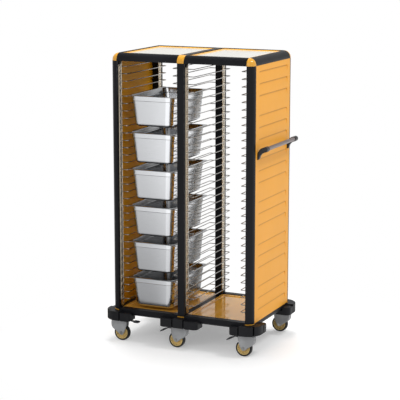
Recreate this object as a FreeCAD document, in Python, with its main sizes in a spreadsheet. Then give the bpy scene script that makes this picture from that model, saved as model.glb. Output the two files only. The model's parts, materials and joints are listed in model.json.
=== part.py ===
import FreeCAD, Part
import math
import os
import Sketcher
from FreeCAD import Placement, Rotation, Vector

# Open-fronted rack cart for meal trays and food containers.  Two bays side by
# side, closed at the sides, roof and floor and open at the front and back.
# X runs along the front to the right, Y to the back, Z up.  The origin lies on
# the floor under the middle of the cart's outline.  Millimetres.

doc = FreeCAD.newDocument("tray_cart")
sheet = doc.addObject("Spreadsheet::Sheet", "Sizes")


class Size:
    """A length that remembers the sheet formula it was made from."""

    def __init__(self, value, text):
        self.value = value
        self.text = text

    def _with(self, other, sign, result):
        return Size(result, "(%s %s %s)" % (self.text, sign, size(other).text))

    def __add__(self, other):
        return self._with(other, "+", self.value + size(other).value)

    def __sub__(self, other):
        return self._with(other, "-", self.value - size(other).value)

    def __mul__(self, other):
        return self._with(other, "*", self.value * size(other).value)

    def __truediv__(self, other):
        return self._with(other, "/", self.value / size(other).value)

    def __radd__(self, other):
        return size(other) + self

    def __rsub__(self, other):
        return size(other) - self

    def __rmul__(self, other):
        return size(other) * self

    def __neg__(self):
        return Size(-self.value, "(-1 * %s)" % self.text)


def size(number):
    if isinstance(number, Size):
        return number
    return Size(float(number), "(%.6f)" % number)


def dimension(alias, value):
    """Put one driving dimension on the sheet and return it as a Size."""
    dimension.row += 1
    sheet.set("A%d" % dimension.row, alias.replace("_", " "))
    sheet.set("B%d" % dimension.row, "%g" % value)
    sheet.setAlias("B%d" % dimension.row, alias)
    return Size(float(value), "Sizes.%s" % alias)


dimension.row = 0

GAP = dimension("fit_gap", 0.3)
WIDTH = dimension("frame_width", 960)
DEPTH = dimension("frame_depth", 650)
HEIGHT = dimension("frame_top", 1840)
BASE = dimension("frame_base", 172)
PROFILE = dimension("profile_width", 45)
POST_DEPTH = dimension("post_depth", 70)
EDGE = dimension("edge_radius", 44)
LOW_EDGE = dimension("low_edge_radius", 22)
TOP_BEAM = dimension("top_beam_height", 48)
LOW_BEAM = dimension("low_beam_height", 45)
SILL = dimension("sill_height", 35.7)
SKIN = dimension("panel_thickness", 6)
RIB_DEPTH = dimension("rib_depth", 4)
RIB_BAND = dimension("rib_band", 44)
RIB_MARGIN = dimension("rib_margin", 46)
RIB_TOP = dimension("rib_top", 1757)
RIB_PITCH = dimension("rib_pitch", 72.5)
RIB_GROUP_PITCH = dimension("rib_group_pitch", 265.2)
SHEET = dimension("sheet_thickness", 3)
STRIP = dimension("strip_width", 40)
STRIP_SET = dimension("strip_setback", 26)
STRIP_SKIN = dimension("strip_thickness", 2)
RUNNER_TOP = dimension("runner_top", 1755)
RUNNER_PITCH = dimension("runner_pitch", 46.4)
RUNNERS = dimension("runner_count", 33)
REACH = dimension("runner_reach", 50)
WIRE = dimension("wire_thickness", 5.3)
RIM_WIDTH = dimension("rim_width", 325)
RIM_LENGTH = dimension("rim_length", 530)
RIM_FLANGE = dimension("rim_flange", 13)
RIM_SKIN = dimension("rim_thickness", 2)
RIM_RADIUS = dimension("rim_corner_radius", 22)
TUB_DEPTH = dimension("tub_depth", 190)
TUB_RADIUS = dimension("tub_corner_radius", 48)
TUB_DRAFT = dimension("tub_draft_angle", 4.8)
TUB_BEVEL = dimension("tub_base_bevel", 14)
TUB_SHOULDER = dimension("tub_shoulder", 30)
TUB_SKIN = dimension("tub_thickness", 1.2)
RIM_SETBACK = dimension("rim_setback", 41)
LEVELS = dimension("levels_per_tub", 5)
BUMP = dimension("bumper_reach", 50)
BUMP_BASE = dimension("bumper_base", 143)
BUMP_TOP = dimension("bumper_top", 203)
BUMP_LEG = dimension("bumper_leg", 138)
BUMP_SLOT = dimension("bumper_slot", 6)
BUMP_LOBE = dimension("lobe_radius", 28)
LOBE_DROP = dimension("lobe_drop", 8)
PIN = dimension("pin_radius", 6)
PIVOT = dimension("pedal_pivot_radius", 3.2)
RUN = dimension("running_clearance", 0.05)
TRAIL = dimension("caster_trail", 35)
WHEEL = dimension("wheel_radius", 52.5)
TREAD = dimension("wheel_width", 32)
FORK_TOP = dimension("fork_top", 141)
FORK_SKIN = dimension("fork_thickness", 5.5)
GRIP_X = dimension("grip_offset", 52)
GRIP_Z = dimension("grip_height", 1289)
GRIP = dimension("grip_radius", 12.5)
GRIP_BOSS = dimension("grip_boss_radius", 16.5)
GRIP_LENGTH = dimension("grip_length", 470)
FOOT_Z = dimension("grip_foot_height", 1242)
# The handle stands on one side only, so the outline's middle is not the
# middle of the frame.
SHIFT = (GRIP_X + GRIP_BOSS - BUMP) / 2
sheet.recompute()

HALF_W = WIDTH / 2
HALF_D = DEPTH / 2
AXLE_X = HALF_W - PROFILE / 2
parts = []


def bind(obj, prop, length):
    """Tie one property to the sheet."""
    obj.setExpression(prop, length.text)


def place(obj, x=0, y=0, z=0, turn=0, tilt=0):
    """Put an object into the cart, tilted about its own Y and turned about the upright axis."""
    turned = Rotation(Vector(0, 0, 1), turn) * Rotation(Vector(0, 1, 0), tilt)
    obj.Placement = Placement(Vector(0, 0, 0), turned)
    bind(obj, "Placement.Base.x", size(x) - SHIFT)
    bind(obj, "Placement.Base.y", size(y))
    bind(obj, "Placement.Base.z", size(z))


def body(name):
    made = doc.addObject("PartDesign::Body", name)
    made.Label = name
    made.AllowCompound = True
    return made


def sketch(owner, role, name, level=None):
    """A sketch on one of the body's own origin planes."""
    made = owner.newObject("Sketcher::SketchObject", owner.Name + "_" + name)
    plane = [item for item in owner.Origin.OriginFeatures if item.Role == role][0]
    made.AttachmentSupport = [(plane, "")]
    made.MapMode = "FlatFace"
    if level is not None:
        bind(made, "AttachmentOffset.Base.z", level)
    return made


def outline(drawing, corners):
    """A closed polygon whose every corner is held by two driving lengths."""
    points = [(size(x), size(y)) for x, y in corners]
    first = drawing.GeometryCount
    count = len(points)
    for i in range(count):
        here, there = points[i], points[(i + 1) % count]
        drawing.addGeometry(Part.LineSegment(Vector(here[0].value, here[1].value, 0),
                                             Vector(there[0].value, there[1].value, 0)))
    for i in range(count):
        drawing.addConstraint(Sketcher.Constraint("Coincident", first + i, 2,
                                                  first + (i + 1) % count, 1))
    for i in range(count):
        for kind, length in zip(("DistanceX", "DistanceY"), points[i]):
            index = drawing.addConstraint(Sketcher.Constraint(kind, -1, 1, first + i, 1,
                                                              length.value))
            bind(drawing, "Constraints[%d]" % index, length)


def circle(drawing, x, y, radius):
    x, y, radius = size(x), size(y), size(radius)
    index = drawing.addGeometry(Part.Circle(Vector(x.value, y.value, 0), Vector(0, 0, 1),
                                            radius.value))
    for kind, length in (("DistanceX", x), ("DistanceY", y)):
        held = drawing.addConstraint(Sketcher.Constraint(kind, -1, 1, index, 3, length.value))
        bind(drawing, "Constraints[%d]" % held, length)
    held = drawing.addConstraint(Sketcher.Constraint("Radius", index, radius.value))
    bind(drawing, "Constraints[%d]" % held, radius)


def box_outline(drawing, x0, y0, x1, y1):
    outline(drawing, [(x0, y0), (x1, y0), (x1, y1), (x0, y1)])


def pad(owner, drawing, length, both=False, name="pad"):
    made = owner.newObject("PartDesign::Pad", "%s_%s" % (owner.Name, name))
    made.Profile = drawing
    bind(made, "Length", size(length))
    made.Midplane = both
    doc.recompute()
    return made


def pocket(owner, drawing, length=None, both=False, flip=False, name="pocket"):
    made = owner.newObject("PartDesign::Pocket", "%s_%s" % (owner.Name, name))
    made.Profile = drawing
    made.Reversed = flip
    if length is None:
        made.Type = "ThroughAll"
    else:
        bind(made, "Length", size(length))
    made.Midplane = both
    doc.recompute()
    return made


def edge_names(base, wanted):
    return ["Edge%d" % (i + 1) for i, edge in enumerate(base.Shape.Edges)
            if wanted(edge, edge.CenterOfMass)]


def face_names(base, wanted):
    return ["Face%d" % (i + 1) for i, face in enumerate(base.Shape.Faces)
            if wanted(face.normalAt(0, 0), face.CenterOfMass)]


def fillet(owner, base, radius, wanted, name="round"):
    """Round the edges of a feature for which the test holds."""
    made = owner.newObject("PartDesign::Fillet", "%s_%s" % (owner.Name, name))
    made.Base = (base, edge_names(base, wanted))
    bind(made, "Radius", radius)
    doc.recompute()
    return made


def arc(x, y, radius, start, steps):
    """Corner points of a quarter turn about (x, y), from the start angle in degrees."""
    turns = [math.radians(start + 90.0 * step / steps) for step in range(steps + 1)]
    return [(x + radius * math.cos(turn), y + radius * math.sin(turn)) for turn in turns]


def regular(drawing, x, y, radius, sides):
    """A regular polygon that stands on a flat; the radius reaches to its flats."""
    reach = radius * (1 / math.cos(math.pi / sides))
    turns = [2 * math.pi * (side + 0.5) / sides - math.pi / 2 for side in range(sides)]
    outline(drawing, [(x + reach * math.cos(turn), y + reach * math.sin(turn))
                      for turn in turns])


def keep(obj, name=None):
    """Count an object among the sub-parts to be written."""
    if name:
        obj.Label = name
    parts.append(obj)
    return obj


def copy_of(pieces, name):
    """A named group that repeats finished pieces at places of its own."""
    made = doc.addObject("Part::Compound", name)
    made.Label = name
    made.Links = pieces if isinstance(pieces, list) else [pieces]
    return made


def near(value, target):
    return abs(value - target) < 0.05


def is_upright(edge):
    ends = edge.Vertexes
    return len(ends) == 2 and near(ends[0].X, ends[1].X) and near(ends[0].Y, ends[1].Y)


# ---------------------------------------------------------------- frame

POST_FOOT = BASE + SILL + GAP
POST_TOP = HEIGHT - TOP_BEAM - GAP
CORNERS = {"front_left": (-1, -1), "front_right": (1, -1),
           "rear_left": (-1, 1), "rear_right": (1, 1)}


def corner_post(name, side, end):
    """Quarter-round post with a rear lug that carries the rack strip."""
    made = body(name)
    drawing = sketch(made, "XY_Plane", "section")
    wide, deep = -side * PROFILE, -end * PROFILE
    lug = -side * (SKIN + GAP)
    outline(drawing, [(0, 0), (wide, 0), (wide, -end * POST_DEPTH), (lug, -end * POST_DEPTH),
                      (lug, deep), (0, deep)])
    solid = pad(made, drawing, POST_TOP - POST_FOOT)
    fillet(made, solid, EDGE, lambda edge, c: is_upright(edge) and near(c.x, 0) and near(c.y, 0))
    hollow = sketch(made, "XY_Plane", "core")
    box_outline(hollow, -side * 15, -end * 15, -side * (PROFILE - 3), -end * (POST_DEPTH - 3))
    pocket(made, hollow, flip=True)
    place(made, side * HALF_W, end * HALF_D, POST_FOOT)
    keep(made)


def middle_post(name, end):
    made = body(name)
    drawing = sketch(made, "XY_Plane", "section")
    box_outline(drawing, -PROFILE / 2, 0, PROFILE / 2, -end * POST_DEPTH)
    solid = pad(made, drawing, POST_TOP - POST_FOOT)
    fillet(made, solid, size(3), lambda edge, c: is_upright(edge) and near(c.y, 0))
    hollow = sketch(made, "XY_Plane", "core")
    box_outline(hollow, 3 - PROFILE / 2, -end * size(3), PROFILE / 2 - 3, -end * (POST_DEPTH - 3))
    pocket(made, hollow, flip=True)
    place(made, 0, end * HALF_D, POST_FOOT)
    keep(made)


def beam_blank(name, length, height, rounded_at, radius):
    """A beam along X: outer face at y = 0, rounded at its outer top or bottom edge."""
    made = body(name)
    drawing = sketch(made, "YZ_Plane", "section")
    box_outline(drawing, 0, 0, PROFILE, height)
    solid = pad(made, drawing, length)
    level = height.value if rounded_at == "top" else 0
    last = fillet(made, solid, radius, lambda edge, c: near(c.y, 0) and near(c.z, level)
                  and near(c.x, length.value / 2))
    hollow = sketch(made, "YZ_Plane", "core")
    low = 3 if rounded_at == "top" else 9
    box_outline(hollow, 14, low, PROFILE - 3, height - (14 if rounded_at == "top" else 3))
    pocket(made, hollow, flip=True)
    return made


BAY = HALF_W - PROFILE * 1.5 - GAP * 2
SIDE_RUN = DEPTH - PROFILE * 2 - GAP * 2
TOP_Z = HEIGHT - TOP_BEAM

long_top = beam_blank("long_top_pattern", BAY, TOP_BEAM, "top", EDGE)
long_low = beam_blank("long_low_pattern", BAY, LOW_BEAM, "bottom", LOW_EDGE)
side_top = beam_blank("side_top_pattern", SIDE_RUN, TOP_BEAM, "top", EDGE)
side_low = beam_blank("side_low_pattern", SIDE_RUN, SILL, "bottom", LOW_EDGE)


def pair_of_beams(name, pattern, end, z):
    """The two beams of one long side, one in each bay."""
    left = copy_of(pattern, name + "_left_piece")
    right = copy_of(pattern, name + "_right_piece")
    for piece, start in ((left, -HALF_W + PROFILE + GAP), (right, PROFILE / 2 + GAP)):
        if end > 0:
            piece.Placement = Placement(Vector(0, 0, 0), Rotation(Vector(0, 0, 1), 180))
            bind(piece, "Placement.Base.x", start + BAY)
        else:
            bind(piece, "Placement.Base.x", start)
        bind(piece, "Placement.Base.y", end * HALF_D)
    made = keep(copy_of([left, right], name))
    place(made, 0, 0, z)


def side_beam(name, pattern, side, z):
    made = keep(copy_of(pattern, name))
    place(made, side * HALF_W, side * (-SIDE_RUN / 2), z, side * 90)


def middle_beam(name, height, z):
    made = body(name)
    drawing = sketch(made, "XZ_Plane", "section")
    box_outline(drawing, -PROFILE / 2, 0, PROFILE / 2, height)
    pad(made, drawing, SIDE_RUN, both=True)
    hollow = sketch(made, "XZ_Plane", "core")
    box_outline(hollow, 3 - PROFILE / 2, 3, PROFILE / 2 - 3, height - 3)
    pocket(made, hollow, SIDE_RUN * 2, both=True)
    place(made, 0, 0, z)
    keep(made)


for where, (side, end) in CORNERS.items():
    corner_post("post_" + where, side, end)
middle_post("post_front_middle", -1)
middle_post("post_rear_middle", 1)
for where, end in (("front", -1), ("rear", 1)):
    pair_of_beams("top_beams_" + where, long_top, end, TOP_Z)
    pair_of_beams("bottom_beams_" + where, long_low, end, BASE)
for where, side in (("left", -1), ("right", 1)):
    side_beam("top_beam_" + where, side_top, side, TOP_Z)
    side_beam("bottom_beam_" + where, side_low, side, BASE)
middle_beam("top_beam_middle", TOP_BEAM, TOP_Z)
middle_beam("bottom_beam_middle", SILL, BASE)


def corner_block(name, height, grow, rounded_top):
    """A square block at a frame corner, its outer edges rounded to the frame's radius."""
    made = body(name)
    drawing = sketch(made, "XY_Plane", "plan")
    box_outline(drawing, -grow, -grow, PROFILE, PROFILE)
    solid = pad(made, drawing, height)
    edge_at = -size(grow).value

    def outer(edge, c):
        if is_upright(edge):
            return near(c.x, edge_at) and near(c.y, edge_at)
        at_top = rounded_top and near(c.z, height.value)
        return at_top and (near(c.x, edge_at) or near(c.y, edge_at))

    fillet(made, solid, EDGE + grow, outer)
    return made


def middle_block(name, height, grow, rounded_top):
    made = body(name)
    drawing = sketch(made, "XY_Plane", "plan")
    box_outline(drawing, -PROFILE / 2, -grow, PROFILE / 2, PROFILE)
    solid = pad(made, drawing, height)
    if rounded_top:
        fillet(made, solid, EDGE, lambda edge, c: near(c.y, 0) and near(c.z, height.value))
    return made


def at_corners(pattern, name):
    """Four copies of a corner piece, one at each corner of the frame."""
    made = []
    for where, (side, end), turn in (("fl", (-1, -1), 0), ("fr", (1, -1), 90),
                                     ("rr", (1, 1), 180), ("rl", (-1, 1), 270)):
        piece = copy_of(pattern, "%s_%s" % (name, where))
        piece.Placement = Placement(Vector(0, 0, 0), Rotation(Vector(0, 0, 1), turn))
        bind(piece, "Placement.Base.x", side * HALF_W)
        bind(piece, "Placement.Base.y", end * HALF_D)
        made.append(piece)
    return made


def at_middles(pattern, name):
    made = []
    for where, end in (("front", -1), ("rear", 1)):
        piece = copy_of(pattern, "%s_%s" % (name, where))
        turn = 0 if end < 0 else 180
        piece.Placement = Placement(Vector(0, 0, 0), Rotation(Vector(0, 0, 1), turn))
        bind(piece, "Placement.Base.y", end * HALF_D)
        made.append(piece)
    return made


cap = corner_block("corner_cap_pattern", TOP_BEAM, 0, True)
place(keep(copy_of(at_corners(cap, "cap"), "corner_caps")), z=TOP_Z)
middle_cap = middle_block("middle_cap_pattern", TOP_BEAM, 0, True)
place(keep(copy_of(at_middles(middle_cap, "middle_cap"), "middle_caps")), z=TOP_Z)
RING_BASE = BUMP_TOP + GAP
RING = POST_FOOT - GAP - RING_BASE
ring = corner_block("corner_ring_pattern", RING, 1, False)
middle_ring = middle_block("middle_ring_pattern", RING, 1, False)
rings = at_corners(ring, "ring") + at_middles(middle_ring, "middle_ring")
place(keep(copy_of(rings, "foot_rings")), z=RING_BASE)


# ---------------------------------------------------------------- panels

PANEL_RUN = SIDE_RUN
PANEL_FOOT = BASE + SILL + GAP
PANEL_HEIGHT = POST_TOP - PANEL_FOOT


def side_panel(name, side):
    """Flat sheet with six groups of three lapped ribs pressed into its outer face."""
    made = body(name)
    drawing = sketch(made, "XY_Plane", "plan")
    box_outline(drawing, 0, -PANEL_RUN / 2, -side * SKIN, PANEL_RUN / 2)
    pad(made, drawing, PANEL_HEIGHT)
    ribs = sketch(made, "XZ_Plane", "ribs")
    for group in range(6):
        for rib in range(3):
            top = RIB_TOP - PANEL_FOOT - RIB_GROUP_PITCH * group - RIB_PITCH * rib
            outline(ribs, [(side * 2, top), (-side * RIB_DEPTH, top),
                           (-side * RIB_DEPTH, top - 6), (0, top - RIB_BAND),
                           (side * 2, top - RIB_BAND)])
    pocket(made, ribs, PANEL_RUN - RIB_MARGIN * 2, both=True)
    place(made, side * HALF_W, 0, PANEL_FOOT)
    keep(made)


def pan(name, side, z, dish):
    """Sheet that fills one bay between the beams, dished inside its border."""
    made = body(name)
    plan = sketch(made, "XY_Plane", "plan")
    box_outline(plan, -BAY / 2, -SIDE_RUN / 2, BAY / 2, SIDE_RUN / 2)
    pad(made, plan, SHEET + dish)
    top = sketch(made, "XY_Plane", "dish", SHEET + dish)
    box_outline(top, 22 - BAY / 2, 22 - SIDE_RUN / 2, BAY / 2 - 22, SIDE_RUN / 2 - 22)
    pocket(made, top, size(dish), name="dish_cut")
    under = sketch(made, "XY_Plane", "underside")
    box_outline(under, -BAY / 2, -SIDE_RUN / 2, BAY / 2, SIDE_RUN / 2)
    box_outline(under, 19 - BAY / 2, 19 - SIDE_RUN / 2, BAY / 2 - 19, SIDE_RUN / 2 - 19)
    pocket(made, under, size(dish), flip=True, name="underside_cut")
    place(made, side * (PROFILE + HALF_W - PROFILE * 1.5) / 2, 0, z)
    keep(made)


for where, side in (("left", -1), ("right", 1)):
    side_panel("side_panel_" + where, side)
    pan("roof_panel_" + where, side, HEIGHT - 12, 5)
    pan("floor_pan_" + where, side, BASE + LOW_BEAM - 12, 5)


# ---------------------------------------------------------------- rack

STRIP_FOOT = BASE + LOW_BEAM + 6
strip = body("strip_pattern")
strip_plan = sketch(strip, "XY_Plane", "plan")
box_outline(strip_plan, 0, 0, STRIP_SKIN, STRIP)
pad(strip, strip_plan, TOP_Z - STRIP_FOOT - 3)
INNER_X = HALF_W - PROFILE - GAP
MIDDLE_X = PROFILE / 2 + GAP

strips = []
for number, (x, left_faced) in enumerate(((-INNER_X, True), (-MIDDLE_X - STRIP_SKIN, True),
                                          (MIDDLE_X, True), (INNER_X - STRIP_SKIN, True))):
    for end in (-1, 1):
        piece = copy_of(strip, "strip_%d_%s" % (number, "front" if end < 0 else "rear"))
        bind(piece, "Placement.Base.x", x)
        y = -HALF_D + STRIP_SET if end < 0 else HALF_D - STRIP_SET - STRIP
        bind(piece, "Placement.Base.y", y)
        strips.append(piece)
place(keep(copy_of(strips, "rack_strips")), z=STRIP_FOOT)

LEG_Y = HALF_D - STRIP_SET - STRIP / 2


def runner_set(name, x, side):
    """Bent wires in a ladder; each is a flat U hooked to a front and a rear strip."""
    made = body(name)
    drawing = sketch(made, "XY_Plane", "wire")
    reach = side * REACH
    inner = reach - side * WIRE
    outer_y, inner_y = LEG_Y + WIRE / 2, LEG_Y - WIRE / 2
    outline(drawing, [(0, -outer_y), (reach, -outer_y), (reach, outer_y), (0, outer_y),
                      (0, inner_y), (inner, inner_y), (inner, -inner_y), (0, -inner_y)])
    wire = pad(made, drawing, WIRE)
    ladder = made.newObject("PartDesign::LinearPattern", name + "_ladder")
    ladder.Originals = [wire]
    ladder.Direction = (drawing, ["N_Axis"])
    ladder.Reversed = True
    bind(ladder, "Length", RUNNER_PITCH * (RUNNERS - 1))
    bind(ladder, "Occurrences", RUNNERS)
    made.Tip = ladder
    doc.recompute()
    place(made, x, 0, RUNNER_TOP - WIRE / 2)
    keep(made)


runner_set("runners_left_bay_outer", -INNER_X + STRIP_SKIN + GAP, 1)
runner_set("runners_left_bay_inner", -MIDDLE_X - STRIP_SKIN - GAP, -1)
runner_set("runners_right_bay_inner", MIDDLE_X + STRIP_SKIN + GAP, 1)
runner_set("runners_right_bay_outer", INNER_X - STRIP_SKIN - GAP, -1)


# ---------------------------------------------------------------- containers

def rounded_box(drawing, half_x, half_y, radius, steps):
    """A rectangle whose corners are rounded off in short straight steps."""
    corners = []
    for quarter, (sx, sy) in enumerate(((1, 1), (-1, 1), (-1, -1), (1, -1))):
        corners += arc(sx * (half_x - radius), sy * (half_y - radius), radius, 90 * quarter,
                       steps)
    outline(drawing, corners)


def tub_outline(owner, name, level, inset):
    """The tub's rounded outline at one level, set in from the flange's inner edge."""
    drawing = sketch(owner, "XY_Plane", name, size(level))
    rounded_box(drawing, RIM_WIDTH / 2 - RIM_FLANGE - inset, RIM_LENGTH / 2 - RIM_FLANGE - inset,
                TUB_RADIUS - inset, 2)
    return drawing


def container():
    """Deep food container: flat flange, stacking shoulder, drafted walls, bevelled base."""
    made = body("container_pattern")
    tub = pad(made, tub_outline(made, "tub", -TUB_DEPTH, size(5)), TUB_DEPTH - TUB_SHOULDER,
              name="tub_pad")
    walls = made.newObject("PartDesign::Draft", "container_walls")
    walls.Base = (tub, face_names(tub, lambda normal, c: near(normal.z, 0)))
    walls.NeutralPlane = (tub, face_names(tub, lambda normal, c: near(normal.z, 1)))
    walls.Reversed = True
    bind(walls, "Angle", TUB_DRAFT)
    doc.recompute()
    base = made.newObject("PartDesign::Chamfer", "container_base")
    base.Base = (walls, edge_names(walls, lambda edge, c: near(edge.BoundBox.ZMax,
                                                               -TUB_DEPTH.value)))
    bind(base, "Size", TUB_BEVEL)
    doc.recompute()
    band = pad(made, tub_outline(made, "band", -TUB_SHOULDER, size(2)), TUB_SHOULDER,
               name="shoulder_band")
    shell = made.newObject("PartDesign::Thickness", "container_sheet")
    shell.Base = (band, face_names(band, lambda normal, c: near(normal.z, 1) and near(c.z, 0)))
    shell.Reversed = True
    shell.Join = 1
    bind(shell, "Value", TUB_SKIN)
    doc.recompute()
    rim = sketch(made, "XY_Plane", "rim")
    rounded_box(rim, RIM_WIDTH / 2, RIM_LENGTH / 2, RIM_RADIUS, 2)
    pad(made, rim, RIM_SKIN, name="flange")
    pocket(made, tub_outline(made, "mouth", 0, TUB_SKIN + 2), flip=True, name="mouth_cut")
    return made


tub = container()
BAY_MIDDLE = (HALF_W - PROFILE / 2) / 2
for number in range(6):
    made = keep(copy_of(tub, "container_%d" % (number + 1)))
    level = LEVELS * (number + 1) - 1
    place(made, -BAY_MIDDLE, RIM_LENGTH / 2 + RIM_SETBACK - HALF_D,
          RUNNER_TOP - RUNNER_PITCH * level + WIRE / 2 + GAP)


# ---------------------------------------------------------------- bumpers

BUMP_HEIGHT = BUMP_TOP - BUMP_BASE
STEP = BASE - GAP - BUMP_BASE


def pin_hole(owner, x, y):
    """Blind twelve-sided bore in the underside for the caster's kingpin."""
    drawing = sketch(owner, "XY_Plane", "pin_hole")
    regular(drawing, x, y, PIN + RUN, 12)
    pocket(owner, drawing, 26, flip=True, name="bore")


def corner_bumper():
    """Corner foot: post seat, two rounded lobes and the seat of the caster's pin."""
    made = body("corner_bumper_pattern")
    plan = sketch(made, "XY_Plane", "plan")
    near_side, far_side = BUMP_LOBE - BUMP, BUMP_LEG - BUMP_LOBE
    outline(plan, arc(PROFILE, PROFILE, BUMP + PROFILE, 180, 6)
            + arc(far_side, near_side, BUMP_LOBE, 270, 3)
            + [(BUMP_LEG, PROFILE), (PROFILE, PROFILE), (PROFILE, BUMP_LEG)]
            + arc(near_side, far_side, BUMP_LOBE, 90, 3))
    pad(made, plan, BUMP_HEIGHT)
    seat = sketch(made, "XY_Plane", "frame_seat", STEP)
    far = BUMP_LEG + 40
    outline(seat, [(PROFILE + GAP, -GAP), (far, -GAP), (far, far), (-GAP, far),
                   (-GAP, PROFILE + GAP), (PROFILE + GAP, PROFILE + GAP)])
    pocket(made, seat, flip=True, name="seat_cut")
    slots = sketch(made, "XY_Plane", "slots")
    box_outline(slots, 67, -BUMP - 10, 67 + BUMP_SLOT, 20 - BUMP)
    box_outline(slots, -BUMP - 10, 67, 20 - BUMP, 67 + BUMP_SLOT)
    slant, half = math.sqrt(0.5), BUMP_SLOT / 2
    out, deep = BUMP + PROFILE + 10, BUMP + PROFILE - 20
    outline(slots, [(PROFILE - (reach - side) * slant, PROFILE - (reach + side) * slant)
                    for reach, side in ((deep, -half), (deep, half), (out, half), (out, -half))])
    pocket(made, slots, flip=True, name="slot_cut")
    lobes = sketch(made, "XY_Plane", "lobe_tops", BUMP_HEIGHT - LOBE_DROP)
    box_outline(lobes, 67 + BUMP_SLOT / 2, -BUMP - 10, BUMP_LEG + 10, 10)
    box_outline(lobes, -BUMP - 10, 67 + BUMP_SLOT / 2, 10, BUMP_LEG + 10)
    pocket(made, lobes, flip=True, name="lobe_cut")
    pin_hole(made, HALF_W - AXLE_X, HALF_W - AXLE_X)
    return made


def middle_bumper():
    made = body("middle_bumper_pattern")
    plan = sketch(made, "XY_Plane", "plan")
    wing = BUMP_LEG - 8
    outline(plan, arc(BUMP_LOBE - wing, BUMP_LOBE - BUMP, BUMP_LOBE, 180, 3)
            + arc(wing - BUMP_LOBE, BUMP_LOBE - BUMP, BUMP_LOBE, 270, 3)
            + [(wing, PROFILE), (-wing, PROFILE)])
    pad(made, plan, BUMP_HEIGHT)
    seat = sketch(made, "XY_Plane", "frame_seat", STEP)
    for side in (-1, 1):
        box_outline(seat, side * (PROFILE / 2 + GAP), -GAP, side * (wing + 20), PROFILE + 20)
    pocket(made, seat, flip=True, name="seat_cut")
    slots = sketch(made, "XY_Plane", "slots")
    for side in (-1, 1):
        box_outline(slots, side * 35, -BUMP - 10, side * (35 + BUMP_SLOT), 20 - BUMP)
    pocket(made, slots, flip=True, name="slot_cut")
    lobes = sketch(made, "XY_Plane", "lobe_tops", BUMP_HEIGHT - LOBE_DROP)
    for side in (-1, 1):
        box_outline(lobes, side * (35 + BUMP_SLOT / 2), -BUMP - 10, side * (wing + 10), 10)
    pocket(made, lobes, flip=True, name="lobe_cut")
    pin_hole(made, 0, HALF_W - AXLE_X)
    return made


PIN_Y = HALF_D - (HALF_W - AXLE_X)
foot = corner_bumper()
for where, turn in (("front_left", 0), ("front_right", 90), ("rear_right", 180),
                    ("rear_left", 270)):
    side, end = CORNERS[where]
    place(keep(copy_of(foot, "bumper_" + where)), side * HALF_W, end * HALF_D, BUMP_BASE, turn)
middle_foot = middle_bumper()
place(keep(copy_of(middle_foot, "bumper_front_middle")), 0, -HALF_D, BUMP_BASE, 0)
place(keep(copy_of(middle_foot, "bumper_rear_middle")), 0, HALF_D, BUMP_BASE, 180)


# ---------------------------------------------------------------- casters

def caster_fork(name, with_pedal):
    """Hooded swivel fork with its kingpin; it trails towards -X from the pin at x = 0."""
    made = body(name)
    slab = TREAD + 3 + FORK_SKIN * 2
    drawing = sketch(made, "XZ_Plane", "side")
    outline(drawing, [(-46, FORK_TOP), (-60, FORK_TOP - 3), (-69, FORK_TOP - 11),
                      (-72, FORK_TOP - 24), (-70, FORK_TOP - 43), (-TRAIL - 28, WHEEL + 22),
                      (-TRAIL - 20, WHEEL + 3), (-TRAIL - 12, WHEEL - 12),
                      (-TRAIL - 4, WHEEL - 16), (-TRAIL + 8, WHEEL - 15),
                      (-TRAIL + 19, WHEEL - 6), (-TRAIL + 31, WHEEL + 5), (14, WHEEL + 16),
                      (28, WHEEL + 27), (35, WHEEL + 40), (37, FORK_TOP - 28),
                      (35, FORK_TOP - 13), (28, FORK_TOP - 4), (14, FORK_TOP)])
    pad(made, drawing, slab, both=True)
    well = sketch(made, "XZ_Plane", "wheel_well")
    regular(well, -TRAIL, WHEEL, WHEEL + 3.5, 16)
    pocket(made, well, TREAD + 3, both=True, name="well_cut")
    spindle = sketch(made, "XZ_Plane", "axle")
    circle(spindle, -TRAIL, WHEEL, PIN)
    if with_pedal:
        notch = sketch(made, "XZ_Plane", "pedal_notch")
        box_outline(notch, -90, FORK_TOP - 42, -49, FORK_TOP + 5)
        pocket(made, notch, 25, both=True, name="notch_cut")
        circle(spindle, -60, FORK_TOP - 17, PIVOT)
    pad(made, spindle, slab - 2, both=True, name="pins")
    for side in (-1, 1):
        end = sketch(made, "XZ_Plane", "axle_end", side * (slab / 2))
        regular(end, -TRAIL, WHEEL, 9, 6)
        head = pad(made, end, 4, name="axle_head")
        head.Reversed = side < 0
        doc.recompute()
    kingpin = sketch(made, "XY_Plane", "kingpin", FORK_TOP - 4)
    circle(kingpin, 0, 0, PIN)
    pad(made, kingpin, 28, name="kingpin_pad")
    return made


def caster_wheel():
    """Wheel centre with its bonded tread, turned about the axle along Y."""
    made = body("wheel_pattern")
    drawing = sketch(made, "XZ_Plane", "side")
    regular(drawing, 0, 0, WHEEL, 24)
    regular(drawing, 0, 0, PIN + RUN, 12)
    rim = pad(made, drawing, TREAD, both=True)
    shoulder = made.newObject("PartDesign::Chamfer", "wheel_shoulder")
    shoulder.Base = (rim, edge_names(rim, lambda edge, c: near(edge.BoundBox.YLength, 0)
                                     and c.Length > WHEEL.value - 1))
    bind(shoulder, "Size", size(5))
    doc.recompute()
    return made


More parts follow.
